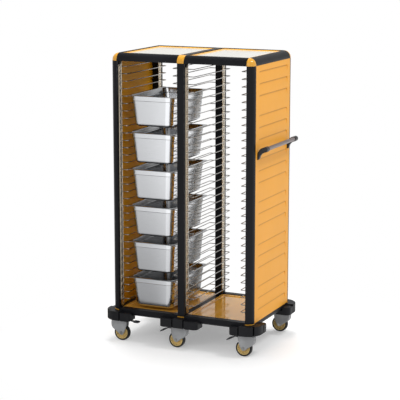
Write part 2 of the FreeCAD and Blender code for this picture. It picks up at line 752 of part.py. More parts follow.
def brake_pedal():
    """Foot pedal on a pin through the fork's tail."""
    made = body("pedal_pattern")
    arm = sketch(made, "XZ_Plane", "arm")
    outline(arm, [(6, 6), (-4, 7), (-34, 2), (-62, -14), (-88, -26), (-88, -32), (-60, -21),
                  (-34, -6), (-4, -8), (6, -6)])
    pad(made, arm, 24, both=True)
    tread = sketch(made, "XZ_Plane", "tread")
    outline(tread, [(-58, -11), (-88, -25), (-90, -33), (-60, -21)])
    pad(made, tread, 40, both=True, name="tread_pad")
    hole = sketch(made, "XZ_Plane", "pivot_hole")
    regular(hole, 0, 0, PIVOT + RUN, 8)
    pocket(made, hole, both=True, length=60, name="pivot_cut")
    return made


braked_fork = caster_fork("braked_fork_pattern", True)
plain_fork = caster_fork("plain_fork_pattern", False)
wheel = caster_wheel()
pedal = brake_pedal()
# The front left pedal is up, at its brake's free end; the other two are down.
PEDAL_RAISE = 22
SPOTS = {"front_left": (-1, -1, 1), "front_middle": (0, -1, -1), "front_right": (1, -1, -1),
         "rear_left": (-1, 1, 1), "rear_middle": (0, 1, -1), "rear_right": (1, 1, -1)}
for where, (side, end, trail) in SPOTS.items():
    x, y = side * AXLE_X, end * PIN_Y
    turn = 180 if trail > 0 else 0
    fork = braked_fork if end < 0 else plain_fork
    place(keep(copy_of(fork, "caster_fork_" + where)), x, y, 0, turn)
    place(keep(copy_of(wheel, "caster_wheel_" + where)), x + trail * TRAIL, y, WHEEL)
    if end < 0:
        raised = PEDAL_RAISE if where == "front_left" else 0
        place(keep(copy_of(pedal, "brake_pedal_" + where)), x + trail * size(60), y,
              FORK_TOP - 17, turn, raised)


# ---------------------------------------------------------------- handle

def handle_bracket(name, end):
    """Bracket on the side panel's margin that holds one end of the push bar."""
    made = body(name)
    rise = GRIP_Z - FOOT_Z
    drawing = sketch(made, "XZ_Plane", "side")
    outline(drawing, [(GAP, -18), (9, -18), (13, -8), (19, 9), (32, 22), (GRIP_X + 4, rise - 15),
                      (GRIP_X - 4, rise + 15), (26, 54), (12, 43), (3, 28), (GAP, 16)])
    pad(made, drawing, 24, both=True)
    boss = sketch(made, "XZ_Plane", "boss")
    regular(boss, GRIP_X, rise, GRIP_BOSS, 16)
    pad(made, boss, 30, both=True, name="boss_pad")
    socket = sketch(made, "XZ_Plane", "socket", size(4) * -end)
    regular(socket, GRIP_X, rise, GRIP + GAP, 16)
    pocket(made, socket, 40, flip=end > 0, name="socket_cut")
    place(made, HALF_W, end * (GRIP_LENGTH / 2 + 11), FOOT_Z)
    keep(made)


handle_bracket("handle_bracket_front", -1)
handle_bracket("handle_bracket_rear", 1)
bar = body("handle_bar")
bar_section = sketch(bar, "XZ_Plane", "section")
circle(bar_section, 0, 0, GRIP)
pad(bar, bar_section, GRIP_LENGTH + 28, both=True)
place(bar, HALF_W + GRIP_X, 0, GRIP_Z)
keep(bar)


# ---------------------------------------------------------------- output

doc.recompute()
for obj in doc.Objects:
    if "Invalid" in obj.State or "Error" in obj.State:
        raise RuntimeError("%s is in error" % obj.Label)
os.makedirs("parts", exist_ok=True)
for obj in parts:
    shape = obj.Shape
    if shape.isNull() or not shape.isValid():
        raise RuntimeError("%s has no valid shape" % obj.Label)
    shape.exportStep("parts/%s.step" % obj.Label)
    print("%-26s %3d solids %9.1f cm3" % (obj.Label, len(shape.Solids), shape.Volume / 1000))
print(len(parts), "parts")
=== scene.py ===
import json
import math

import bmesh
import bpy
from bpy.props import FloatProperty, FloatVectorProperty, IntProperty, PointerProperty
from mathutils import Matrix, Vector


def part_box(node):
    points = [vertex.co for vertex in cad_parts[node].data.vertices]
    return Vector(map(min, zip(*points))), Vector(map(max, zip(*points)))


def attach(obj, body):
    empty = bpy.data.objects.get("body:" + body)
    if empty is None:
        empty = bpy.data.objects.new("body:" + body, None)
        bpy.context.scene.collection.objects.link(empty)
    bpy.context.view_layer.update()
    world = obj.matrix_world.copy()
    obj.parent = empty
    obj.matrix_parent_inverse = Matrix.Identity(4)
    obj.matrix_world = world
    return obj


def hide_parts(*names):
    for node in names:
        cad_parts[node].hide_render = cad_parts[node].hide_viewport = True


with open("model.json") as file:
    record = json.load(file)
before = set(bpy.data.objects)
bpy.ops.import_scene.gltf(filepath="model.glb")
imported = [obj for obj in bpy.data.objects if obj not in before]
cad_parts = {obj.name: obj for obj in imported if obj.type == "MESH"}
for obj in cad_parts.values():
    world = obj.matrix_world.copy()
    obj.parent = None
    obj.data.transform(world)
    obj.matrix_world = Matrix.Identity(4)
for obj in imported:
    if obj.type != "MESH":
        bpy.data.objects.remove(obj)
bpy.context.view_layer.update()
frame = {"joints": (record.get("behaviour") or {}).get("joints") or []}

bl_info = {
    "name": "Tray Cart",
    "version": (1, 0, 0),
    "blender": (4, 5, 0),
    "location": "View3D > Sidebar > Tray Cart",
    "description": "Builds the finished pieces of an open-fronted meal tray cart",
    "category": "Object",
}

SHARP = math.radians(32)  # edges steeper than this stay sharp
TIGHT = 1e-5  # places closer than this are one
MERGE = 1e-6  # corners closer than this are merged while a shape is built
PROFILE = 0.045  # width of the frame's profiles
GAP = 0.0003  # clear space between neighbouring pieces
PAST = 0.01  # how far a cutting shape reaches past what it cuts
WHEEL = 0.0525  # radius of a wheel and height of its axle
TRAIL = 0.035  # how far an axle lies behind its kingpin
LEVELS = 33  # runners in a ladder
WHITE = (1, 1, 1, 1)
AXES = {"X": (1, 2, 0), "Y": (0, 2, 1), "Z": (0, 1, 2)}
CORNERS = {"front_left": (-1, -1), "front_right": (1, -1),
           "rear_left": (-1, 1), "rear_right": (1, 1)}
MIDDLES = {"front_middle": (0, -1), "rear_middle": (0, 1)}
LADDERS = {"left_bay_outer": 1, "left_bay_inner": -1,
           "right_bay_inner": 1, "right_bay_outer": -1}


# ------------------------------------------------------------ settings

def length(name, description, default):
    return FloatProperty(name=name, description=description, default=default, min=0.0,
                         unit="LENGTH", subtype="DISTANCE", precision=4)


def colour(name, description, default):
    return FloatVectorProperty(name=name, description=description, default=default, size=3,
                               min=0.0, max=1.0, subtype="COLOR")


class TrayCartSizes(bpy.types.PropertyGroup):
    edge: length("Edge radius", "Outer radius of the posts and top beams", 0.044)
    low_edge: length("Low edge radius", "Outer radius of the bottom beams", 0.022)
    ease: length("Eased edges", "Radius of the profiles' small edges", 0.0009)
    rib_depth: length("Rib depth", "How deep a rib is pressed at its top", 0.0046)
    rib_band: length("Rib band", "Height of one pressed rib", 0.044)
    rib_margin: length("Rib margin", "Flat margin at each end of a rib", 0.046)
    rib_corner: length("Rib corner", "Radius of a rib's upper corners", 0.016)
    rib_top: length("First rib", "Height of the highest rib's top edge", 1.757)
    rib_pitch: length("Rib pitch", "From one rib to the next in a group", 0.0725)
    rib_group_pitch: length("Group pitch", "From one group of three ribs to the next", 0.2652)
    pan_border: length("Pan border", "Raised border of a roof or floor pan", 0.022)
    pan_dish: length("Pan dish", "How deep a pan is dished", 0.005)
    slot_width: length("Slot width", "Width of a slot in a rack strip", 0.008)
    slot_height: length("Slot height", "Height of a slot in a rack strip", 0.024)
    wire_bend: length("Wire bend", "Radius of a runner's bends", 0.009)
    wire_sides: IntProperty(name="Wire sides", description="Faces round a runner wire",
                            default=8, min=4, max=16)
    tub_sheet: length("Container sheet", "Thickness of a container's steel sheet", 0.001)
    tub_corner: length("Container corner", "Radius of a container's upright corners", 0.046)
    lobe: length("Bumper lobe", "Radius of a bumper's rounded ends", 0.028)
    lobe_drop: length("Lobe drop", "How far a lobe lies below the bumper's top", 0.008)
    bumper_edge: length("Bumper edge", "Radius of a bumper's upper and lower edges", 0.006)
    reach: length("Bumper reach", "How far a bumper stands out of the frame", 0.05)
    tyre: length("Tyre thickness", "Thickness of the rubber tread", 0.0112)


class TrayCartColours(bpy.types.PropertyGroup):
    profile: colour("Profiles", "Powder coat of posts and beams", (0.0075, 0.0078, 0.0095))
    fitting: colour("Fittings", "Caps and foot rings", (0.66, 0.315, 0.018))
    panel: colour("Side panels", "Outer face of the side panels", (0.86, 0.385, 0.036))
    # painted light: the inner face of the same sheet, brighter and deeper than the outer face
    lining: colour("Panel linings", "Inner face of the side panels", (1.0, 0.43, 0.010))
    pan: colour("Pans", "Roof and floor pans", (0.80, 0.41, 0.06))
    # painted reflection: the roof field's pale colour stands for the white surroundings mirrored
    # in it
    roof: colour("Roof field", "Field of the roof pans inside their border", (0.45, 0.44, 0.395))
    strip: colour("Rack strips", "Plated steel of the rack strips", (0.52, 0.45, 0.34))
    wire: colour("Runners", "Bright steel wire", (0.36, 0.345, 0.325))
    steel: colour("Containers", "Brushed stainless steel", (0.66, 0.67, 0.69))
    bumper: colour("Bumpers", "Moulded bumper plastic", (0.006, 0.0062, 0.008))
    bracket: colour("Brackets", "Moulded bracket plastic", (0.007, 0.007, 0.009))
    tube: colour("Push bar", "Anodised tube", (0.20, 0.17, 0.17))
    fork: colour("Forks", "Grey caster housing", (0.325, 0.33, 0.34))
    tread: colour("Tread", "Rubber of the wheels", (0.011, 0.010, 0.010))
    rim: colour("Wheel centres", "Moulded wheel centre", (0.66, 0.47, 0.17))
    pedal: colour("Pedals", "Brake pedals", (0.02, 0.02, 0.025))


# ------------------------------------------------------------ shapes

def vertices(made):
    """The vertices among what an operation made."""
    return [item for item in made if isinstance(item, bmesh.types.BMVert)]


def baked(bm, name):
    """Turn a shape into a mesh and free it."""
    mesh = bpy.data.meshes.new(name)
    bm.to_mesh(mesh)
    bm.free()
    return mesh


def prism(bm, outline, axis, low, high):
    """Draw a closed outline square to an axis and extrude it along that axis."""
    first, second, along = AXES[axis]
    corners = []
    for a, b in outline:
        place = Vector()
        place[first], place[second], place[along] = a, b, low
        corners.append(bm.verts.new(place))
    made = bmesh.ops.extrude_face_region(bm, geom=[bm.faces.new(corners)])["geom"]
    step = Vector()
    step[along] = high - low
    bmesh.ops.translate(bm, vec=step, verts=vertices(made))


def block(bm, corner, opposite):
    """A box between two opposite corners."""
    low, high = ([pick(pair) for pair in zip(corner, opposite)] for pick in (min, max))
    prism(bm, [(low[0], low[1]), (high[0], low[1]), (high[0], high[1]), (low[0], high[1])],
          "Z", low[2], high[2])


def disc(bm, centre, radius, width, axis, sides=32):
    """A solid cylinder with its middle at the centre."""
    turn = {"X": Matrix.Rotation(math.pi / 2, 4, "Y"), "Y": Matrix.Rotation(math.pi / 2, 4, "X"),
            "Z": Matrix.Identity(4)}[axis]
    bmesh.ops.create_cone(bm, cap_ends=True, segments=sides, radius1=radius, radius2=radius,
                          depth=width, matrix=Matrix.Translation(centre) @ turn)


def edges_at(bm, x=None, y=None, z=None):
    """The edges whose both ends lie at the given coordinates."""
    wanted = [(axis, value) for axis, value in enumerate((x, y, z)) if value is not None]
    return [edge for edge in bm.edges
            if all(abs(end.co[axis] - value) < TIGHT for end in edge.verts
                   for axis, value in wanted)]


def bevel(bm, geom, radius, segments, affect="EDGES"):
    bmesh.ops.bevel(bm, geom=geom, offset=radius, offset_type="OFFSET", segments=segments,
                    profile=0.5, affect=affect, clamp_overlap=True, material=-1)


def soften(bm, radius, segments=2, wanted=None):
    """Ease the sharp edges of a shape, or those of them for which the test holds."""
    bmesh.ops.recalc_face_normals(bm, faces=bm.faces)
    sharp = [edge for edge in bm.edges if edge.is_manifold and edge.calc_face_angle() > SHARP
             and (wanted is None or wanted(edge))]
    bevel(bm, sharp, radius, segments)


def cut(bm, axis, place):
    """Cut all faces of a shape along a plane square to an axis."""
    normal = Vector((axis == "X", axis == "Y", axis == "Z"))
    bmesh.ops.bisect_plane(bm, geom=bm.verts[:] + bm.edges[:] + bm.faces[:],
                           plane_co=normal * place, plane_no=normal)


def carve(shape, tool):
    """Cut one closed shape out of another and return what is left."""
    pieces = []
    for part in (shape, tool):
        bmesh.ops.recalc_face_normals(part, faces=part.faces)
        pieces.append(bpy.data.objects.new("carving", baked(part, "carving")))
        bpy.context.scene.collection.objects.link(pieces[-1])
    taken = pieces[0].modifiers.new("taken", "BOOLEAN")
    taken.operation = "DIFFERENCE"
    taken.solver = "EXACT"
    taken.object = pieces[1]
    left = bmesh.new()
    left.from_object(pieces[0], bpy.context.evaluated_depsgraph_get())
    for piece in pieces:
        bpy.data.meshes.remove(piece.data)
    return left


class Wire:
    """A round wire drawn out of a small circle that faces +X, run by run and bend by bend."""

    def __init__(self, bm, start, radius, sides):
        turn = Vector((1, 0, 0)).to_track_quat("Z", "Y").to_matrix().to_4x4()
        self.bm = bm
        made = bmesh.ops.create_circle(bm, cap_ends=True, segments=sides, radius=radius,
                                       matrix=Matrix.Translation(start) @ turn)
        self.edges = list({edge for corner in made["verts"] for edge in corner.link_edges})

    def run(self, step):
        made = bmesh.ops.extrude_edge_only(self.bm, edges=self.edges)["geom"]
        ends = vertices(made)
        bmesh.ops.translate(self.bm, vec=step, verts=ends)
        self.edges = [item for item in made if isinstance(item, bmesh.types.BMEdge)
                      and all(end in ends for end in item.verts)]

    def bend(self, centre, steps=4):
        """A quarter turn to the left, seen from above."""
        corners = list({end for edge in self.edges for end in edge.verts})
        made = bmesh.ops.spin(self.bm, geom=corners + self.edges, cent=centre, axis=(0, 0, 1),
                              dvec=(0, 0, 0), angle=math.pi / 2, steps=steps)["geom_last"]
        self.edges = [item for item in made if isinstance(item, bmesh.types.BMEdge)]

    def close(self):
        bmesh.ops.edgeloop_fill(self.bm, edges=self.edges)


def cut_away(bm, outline, low, high):
    """Cut an upright prism out of a shape, from the low level up past the high one."""
    tool = bmesh.new()
    prism(tool, outline, "Z", low, high + PAST)
    return carve(bm, tool)


def add(bm, other):
    """Add a finished small shape to another."""
    mesh = baked(other, "detail")
    bm.from_mesh(mesh)
    bpy.data.meshes.remove(mesh)


def turned(bm, half, centre, steps=48):
    """Spin a profile about Y into a ring; its half is given as (radius, y) and mirrored."""
    profile = half + [(r, -y) for r, y in reversed(half)]
    corners = [bm.verts.new(Vector(centre) + Vector((r, y, 0))) for r, y in profile]
    edges = [bm.edges.new((corners[i - 1], corners[i])) for i in range(len(corners))]
    bmesh.ops.spin(bm, geom=corners + edges, cent=centre, axis=(0, 1, 0), dvec=(0, 0, 0),
                   angle=2 * math.pi, steps=steps, use_merge=True)


def rounded_ring(bm, centre, half_x, half_y, radius, z, steps=7):
    """The edges of a rectangle with rounded corners, at one level."""
    known = set(bm.faces)
    corners = [bm.verts.new((centre[0] + sx * half_x, centre[1] + sy * half_y, z))
               for sx, sy in ((1, 1), (-1, 1), (-1, -1), (1, -1))]
    bm.faces.new(corners)
    bevel(bm, corners, radius, steps, "VERTICES")
    face = next(face for face in bm.faces if face not in known)
    edges = list(face.edges)
    bmesh.ops.delete(bm, geom=[face], context="FACES_ONLY")
    return edges


def keep(bm, name, body, finish, nodes=()):
    """Turn a shape into a finished piece that rides on a body and stands for its nodes."""
    bmesh.ops.remove_doubles(bm, verts=bm.verts, dist=2 * MERGE)
    bmesh.ops.recalc_face_normals(bm, faces=bm.faces)
    return keep_mesh(baked(bm, name), name, body, finish, nodes)


def keep_mesh(mesh, name, body, finish, nodes=()):
    """Shade a mesh, give it its finish and say what it rides on and stands for."""
    mesh.shade_smooth()
    mesh.set_sharp_from_angle(angle=SHARP)
    mesh.materials.append(material(finish))
    piece = bpy.data.objects.new(name, mesh)
    bpy.context.scene.collection.objects.link(piece)
    even = piece.modifiers.new("even_shading", "WEIGHTED_NORMAL")
    even.keep_sharp = True
    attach(piece, body)
    if nodes:
        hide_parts(*nodes)
    return piece


def keep_sheet(bm, name, body, finish, node, thickness, offset):
    """Keep an open shape as sheet, laid to the side of it that the offset says."""
    piece = keep_mesh(baked(bm, name), name, body, finish, [node])
    wall = piece.modifiers.new("sheet", "SOLIDIFY")
    wall.thickness, wall.offset = thickness, offset
    return wall


def outer(low, high, side, end):
    """The outer x and y of a box, on one side and at one end of the cart."""
    return (low.x, high.x)[side > 0], (low.y, high.y)[end > 0]


# ------------------------------------------------------------ finishes

def _math(operation, swapped=False):
    """An operator that adds a Math node."""
    def method(self, other):
        made = self.tree.nodes.new("ShaderNodeMath")
        made.operation = operation
        for place, value in zip(made.inputs, (other, self) if swapped else (self, other)):
            feed(self.tree, place, value)
        return Socket(self.tree, made.outputs[0])
    return method


class Socket:
    """One output of a shader node that can be reckoned with."""

    def __init__(self, tree, socket):
        self.tree = tree
        self.socket = socket

    __add__, __radd__ = _math("ADD"), _math("ADD", True)
    __sub__, __rsub__ = _math("SUBTRACT"), _math("SUBTRACT", True)
    __mul__, __rmul__ = _math("MULTIPLY"), _math("MULTIPLY", True)


def feed(tree, place, value):
    """Link a socket, or set the value of one."""
    if isinstance(value, Socket):
        tree.links.new(value.socket, place)
    else:
        place.default_value = value


class Finish:
    """A material, or the world, and the nodes that it is made of."""

    def __init__(self, owner, **constants):
        owner.use_nodes = True
        self.owner = owner
        self.tree = owner.node_tree
        self.shader = self.tree.nodes.get("Principled BSDF")
        for name, value in constants.items():
            self.shader.inputs[name.replace("_", " ")].default_value = value

    def node(self, kind, settings=None, inputs=None, output=0):
        """Add a node: its settings first, then the values or links of its sockets."""
        made = self.tree.nodes.new("ShaderNode" + kind)
        for name, value in (settings or {}).items():
            setattr(made, name, value)
        for name, value in (inputs or {}).items():
            feed(self.tree, made.inputs[name], value)
        return Socket(self.tree, made.outputs[output])

    def place(self, stretch=(1, 1, 1), shift=(0, 0, 0), turn=0):
        where = self.node("TexCoord", output="Object")
        return self.node("Mapping", inputs={"Vector": where, "Scale": stretch, "Location": shift,
                                            "Rotation": (0, 0, turn)})

    def noise(self, scale, detail=3.0, stretch=(1, 1, 1)):
        return self.node("TexNoise", inputs={"Vector": self.place(stretch), "Scale": scale,
                                             "Detail": detail, "Roughness": 0.55})

    def ramp(self, value, low, high):
        """Spread a value between two limits over 0 to 1."""
        return self.node("MapRange", inputs={"Value": value, "From Min": low, "From Max": high})

    def mix(self, amount, first, second):
        """Mix two colours by an amount."""
        return self.node("Mix", {"data_type": "RGBA"}, {0: amount, 6: first, 7: second}, 2)

    def paint(self, socket, value):
        feed(self.tree, self.shader.inputs[socket], value)

    def painted(self, socket):
        """What the shader's socket is linked to so far."""
        return Socket(self.tree, self.shader.inputs[socket].links[0].from_socket)

    def bump(self, height, strength, distance):
        self.paint("Normal", self.node("Bump", inputs={"Height": height, "Strength": strength,
                                                       "Distance": distance}))


def tone(base, factor):
    """A lighter or darker version of a colour, with its alpha."""
    return tuple(min(1.0, part * factor) for part in base) + (1.0,)


def surface(name, base, cloud, tones, gloss, grain, limits=None, **constants):
    """A finish whose colour clouds between two tones of a base.

    The cloud is a noise, spread between the limits if there are any. The gloss is the
    least roughness and how much it varies, the grain a bump's strength and distance.
    Both may name a noise of their own after these; without one they follow the cloud.
    """
    made = Finish(bpy.data.materials.new(name), **constants)
    plain = made.noise(*cloud)
    amount = made.ramp(plain, *limits) if limits else plain
    made.paint("Base Color", made.mix(amount, *(tone(base, factor) for factor in tones)))
    least, varying, *noise = gloss
    made.paint("Roughness", least + varying * (made.noise(*noise) if noise else plain))
    strength, distance, *noise = grain
    made.bump(made.noise(*noise) if noise else plain, strength, distance)
    return made


def powder_coat(colours):
    """Blue-black satin powder coat with a fine orange peel and rubbed patches."""
    return surface("powder_coat", colours.profile, cloud=(3.0, 5.0, (1, 1, 0.35)),
                   limits=(0.42, 0.72), tones=(0.85, 1.5), gloss=(0.36, 0.12, 9.0, 4.0),
                   grain=(0.10, 0.0004, 900.0, 2.0), Specular_IOR_Level=0.12)


def gloss_fitting(colours):
    """Glossy moulded plastic of the caps and rings."""
    return surface("gloss_fitting", colours.fitting, cloud=(14.0, 3.0), limits=(0.35, 0.75),
                   tones=(0.94, 1.06), gloss=(0.26, 0.10, 40.0, 3.0),
                   grain=(0.06, 0.0003, 260.0, 2.0), Coat_Weight=0.25, Coat_Roughness=0.12)


def grained_panel(colours):
    """Yellow sheet with a fine moulded grain, and painted shade where a rib lies deep."""
    grained = surface("grained_panel", colours.panel, cloud=(2.2, 4.0, (1, 1, 0.6)),
                      limits=(0.34, 0.70), tones=(0.965, 1.03), gloss=(0.40, 0.12, 18.0, 4.0),
                      grain=(0.10, 0.0004, 700.0, 3.0), Specular_IOR_Level=0.22)
    # painted shade: the colour darkens towards a deeper tone where a rib is pressed deep
    depth = grained.node("Attribute", {"attribute_name": "rib_depth"}, output="Fac")
    grained.paint("Base Color", grained.mix(grained.ramp(depth, 0.72, 1.0),
                                            grained.painted("Base Color"),
                                            tone(colours.panel, 0.62)))
    return grained


def panel_lining(colours):
    """The matt inner face of the side panels: a brighter, deeper yellow than the outer face of
    the same sheet, as painted light for the inside of the bays.
    """
    return surface("panel_lining", colours.lining, cloud=(2.6, 4.0, (1, 1, 0.5)),
                   limits=(0.34, 0.70), tones=(0.95, 1.05), gloss=(0.34, 0.12, 18.0, 4.0),
                   grain=(0.06, 0.0004, 500.0, 3.0), Specular_IOR_Level=0.06)


def polished_pan(colours):
    """Glossy yellow plastic that mirrors what stands on it."""
    pan = surface("polished_pan", colours.pan, cloud=(3.0, 4.0, (1, 0.3, 1)),
                  limits=(0.35, 0.7), tones=(0.9, 1.1), gloss=(0.05, 0.04, 24.0, 4.0),
                  grain=(0.03, 0.0006, 60.0, 2.0), Specular_IOR_Level=0.3)
    pan.paint("Coat Weight", 0.10 + 0.15 * pan.noise(6.0, 2.0))
    return pan


def roof_field(colours):
    """Lacquered field of the roof pans, almost a mirror at a low angle; its pale colour is a
    painted reflection of the white surroundings.
    """
    return surface("roof_field", colours.roof, cloud=(3.0, 4.0, (1, 0.4, 1)),
                   limits=(0.35, 0.7), tones=(0.94, 1.06), gloss=(0.18, 0.10, 16.0, 4.0),
                   grain=(0.03, 0.0006, 50.0, 2.0), Coat_Weight=0.2, Coat_Roughness=0.08)


def plated_strip(colours):
    """Cream-coloured zinc plating, a little cloudy."""
    return surface("plated_strip", colours.strip, cloud=(30.0, 5.0, (1, 1, 0.2)),
                   tones=(0.8, 1.15), gloss=(0.12, 0.12), grain=(0.05, 0.0003, 300.0, 2.0),
                   Metallic=1.0)


def bright_wire(colours):
    """Drawn steel wire: fine lines along its length."""
    return surface("bright_wire", colours.wire, cloud=(700.0, 2.0, (1, 0.03, 1)),
                   tones=(0.86, 1.1), gloss=(0.16, 0.16), grain=(0.05, 0.0002), Metallic=1.0)


def brushed_steel(colours, name="brushed_steel", shade=1.0):
    """Stainless sheet brushed along its length, with faint wiping marks; a shade below 1 darkens
    it as painted shade.
    """
    steel = surface(name, colours.steel, cloud=(900.0, 2.0, (0.04, 0.04, 1)),
                    tones=(0.92 * shade, 1.06 * shade), gloss=(0.19, 0.03),
                    grain=(0.02, 0.0001), Metallic=1.0)
    wiped = steel.ramp(steel.noise(4.0, 3.0), 0.35, 0.72)
    steel.paint("Roughness", steel.painted("Roughness") + 0.03 * wiped)
    return steel


def moulded(base, name, roughness, grain, strength, level):
    """Moulded plastic or rubber with a spark-eroded grain and worn patches."""
    return surface(name, base, cloud=(11.0, 5.0), limits=(0.45, 0.8), tones=(0.88, 1.3),
                   gloss=(roughness - 0.06, 0.14, 25.0, 3.0),
                   grain=(strength, 0.0004, grain, 3.0), Specular_IOR_Level=level)


def anodised_tube(colours):
    """Matt anodised aluminium with drawing lines along the bar."""
    return surface("anodised_tube", colours.tube, cloud=(500.0, 2.0, (1, 0.02, 1)),
                   tones=(0.88, 1.12), gloss=(0.36, 0.14), grain=(0.06, 0.0002),
                   Metallic=0.55)


def zinc_screw(_):
    """Bright zinc of screws, axle nuts and ball races."""
    zinc = Finish(bpy.data.materials.new("zinc_screw"), Metallic=1.0)
    cloud = zinc.noise(180.0, 4.0)
    zinc.paint("Base Color", zinc.mix(cloud, (0.20, 0.20, 0.20, 1), (0.34, 0.34, 0.33, 1)))
    zinc.paint("Roughness", 0.28 + 0.2 * cloud)
    return zinc


FINISHES = {
    "profile": powder_coat, "fitting": gloss_fitting, "panel": grained_panel,
    "lining": panel_lining, "pan": polished_pan, "roof": roof_field, "strip": plated_strip,
    "wire": bright_wire, "steel": brushed_steel, "tube": anodised_tube, "zinc": zinc_screw,
    # the containers' inner face: the same steel, darker as painted shade
    "inside": lambda colours: brushed_steel(colours, "dull_inside", 0.60)}
# name, roughness, scale and strength of the grain, and level of the gloss
MOULDED = {
    "bumper": ("bumper_plastic", 0.46, 380.0, 0.16, 0.2),
    "bracket": ("bracket_plastic", 0.42, 500.0, 0.12, 0.4),
    "fork": ("fork_nylon", 0.44, 500.0, 0.10, 0.4),
    "tread": ("tread_rubber", 0.62, 300.0, 0.2, 0.3),
    "rim": ("rim_nylon", 0.42, 500.0, 0.08, 0.4),
    "pedal": ("pedal_plastic", 0.44, 450.0, 0.12, 0.4)}
MADE = {}


def material(finish):
    """The material of a finish, made when it is first asked for."""
    if finish not in MADE:
        colours = bpy.context.scene.tray_cart_colours
        made = moulded(getattr(colours, finish), *MOULDED[finish]) if finish in MOULDED \
            else FINISHES[finish](colours)
        MADE[finish] = made.owner
    return MADE[finish]


# ------------------------------------------------------------ pieces

class Dresser:
    """What every operator of the cart shares."""
    bl_options = {"REGISTER", "UNDO"}

    def execute(self, context):
        self.build(context.scene.tray_cart_sizes)
        return {"FINISHED"}


class TRAYCART_OT_profiles(Dresser, bpy.types.Operator):
    """Build the posts and beams of the frame"""
    bl_idname = "tray_cart.profiles"
    bl_label = "Posts and beams"

    def build(self, sizes):
        for where, (side, end) in CORNERS.items():
            self.corner_post(sizes, "post_" + where, side, end)
        for where, (_, end) in MIDDLES.items():
            self.middle_post(sizes, "post_" + where, end)
        for where, end in (("front", -1), ("rear", 1)):
            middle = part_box("post_%s_middle" % where)
            for node in ("top_beams_" + where, "bottom_beams_" + where):
                low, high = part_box(node)
                gap = low.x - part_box("post_%s_left" % where)[1].x
                self.beams(sizes, node, 0, end, [(low, (middle[0].x - gap, high.y, high.z)),
                                                 ((middle[1].x + gap, low.y, low.z), high)])
        for where, side in (("left", -1), ("right", 1), ("middle", 0)):
            for node in ("top_beam_" + where, "bottom_beam_" + where):
                self.beams(sizes, node, side, 0, [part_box(node)])

    def keep(self, bm, sizes, node):
        soften(bm, sizes.ease)
        keep(bm, node + "_profile", "frame", "profile", [node])

    def corner_post(self, sizes, node, side, end):
        """A quarter-round post; the panel's edge sits behind its outer part."""
        low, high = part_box(node)
        x, y = outer(low, high, side, end)
        back, lug = 0.070, 0.0063
        outline = [(0, 0), (PROFILE, 0), (PROFILE, back), (lug, back), (lug, PROFILE),
                   (0, PROFILE)]
        bm = bmesh.new()
        prism(bm, [(x - side * u, y - end * v) for u, v in outline], "Z", low.z, high.z)
        bevel(bm, edges_at(bm, x=x, y=y), sizes.edge, 16)
        self.keep(bm, sizes, node)

    def middle_post(self, sizes, node, end):
        low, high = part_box(node)
        y = outer(low, high, 0, end)[1]
        bm = bmesh.new()
        block(bm, low, high)
        edges = edges_at(bm, x=low.x, y=y) + edges_at(bm, x=high.x, y=y)
        bevel(bm, edges, radius=0.003, segments=4)
        self.keep(bm, sizes, node)

    def beams(self, sizes, node, side, end, blocks):
        """The beams of one node, rounded along the edge that lies outside, if one does."""
        low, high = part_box(node)
        x, y = outer(low, high, side, end)
        bm = bmesh.new()
        for corners in blocks:
            block(bm, *corners)
        z, radius = (high.z, sizes.edge) if node.startswith("top") else (low.z, sizes.low_edge)
        if side or end:
            bevel(bm, edges_at(bm, x if side else None, y if end else None, z), radius, 16)
        self.keep(bm, sizes, node)


class TRAYCART_OT_fittings(Dresser, bpy.types.Operator):
    """Build the yellow caps and foot rings"""
    bl_idname = "tray_cart.fittings"
    bl_label = "Caps and rings"

    def build(self, sizes):
        low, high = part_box("corner_caps")
        bm = bmesh.new()
        for x, y in self.corners(bm, low, high, PROFILE):
            bevel(bm, edges_at(bm, x=x, y=y) + [edge for edge in edges_at(bm, z=high.z)
                                                if self.is_outer(edge, x, y)], sizes.edge, 12)
        self.keep(bm, "corner_caps", sizes.ease)

        low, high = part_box("middle_caps")
        bm = bmesh.new()
        for end in (-1, 1):
            y = outer(low, high, 0, end)[1]
            block(bm, (low.x, y, low.z), (high.x, y - end * PROFILE, high.z))
            bevel(bm, edges_at(bm, y=y, z=high.z), sizes.edge, 14)
        self.keep(bm, "middle_caps", sizes.ease)

        low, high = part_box("foot_rings")
        lip = 0.001
        bm = bmesh.new()
        for x, y in self.corners(bm, low, high, PROFILE + lip):
            bevel(bm, edges_at(bm, x=x, y=y), sizes.edge + lip, 14)
        for where, (_, end) in MIDDLES.items():
            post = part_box("post_" + where)
            y = outer(low, high, 0, end)[1]
            block(bm, (post[0].x, y, low.z), (post[1].x, y - end * (PROFILE + lip), high.z))
        self.keep(bm, "foot_rings", 0.0008)

    def keep(self, bm, node, ease):
        soften(bm, ease)
        keep(bm, node + "_moulding", "frame", "fitting", [node])

    def corners(self, bm, low, high, reach):
        """Add a block at each outer corner and name its place, one after another."""
        for side, end in CORNERS.values():
            x, y = outer(low, high, side, end)
            block(bm, (x, y, low.z), (x - side * reach, y - end * reach, high.z))
            yield x, y

    def is_outer(self, edge, x, y):
        """Whether an edge lies along one of the two outer faces of a corner."""
        first, last = (end.co for end in edge.verts)
        return any(abs(first[a] - place) < TIGHT and abs(last[a] - place) < TIGHT
                   and abs(first[b] - other) < 0.05
                   for a, b, place, other in ((0, 1, x, y), (1, 0, y, x)))


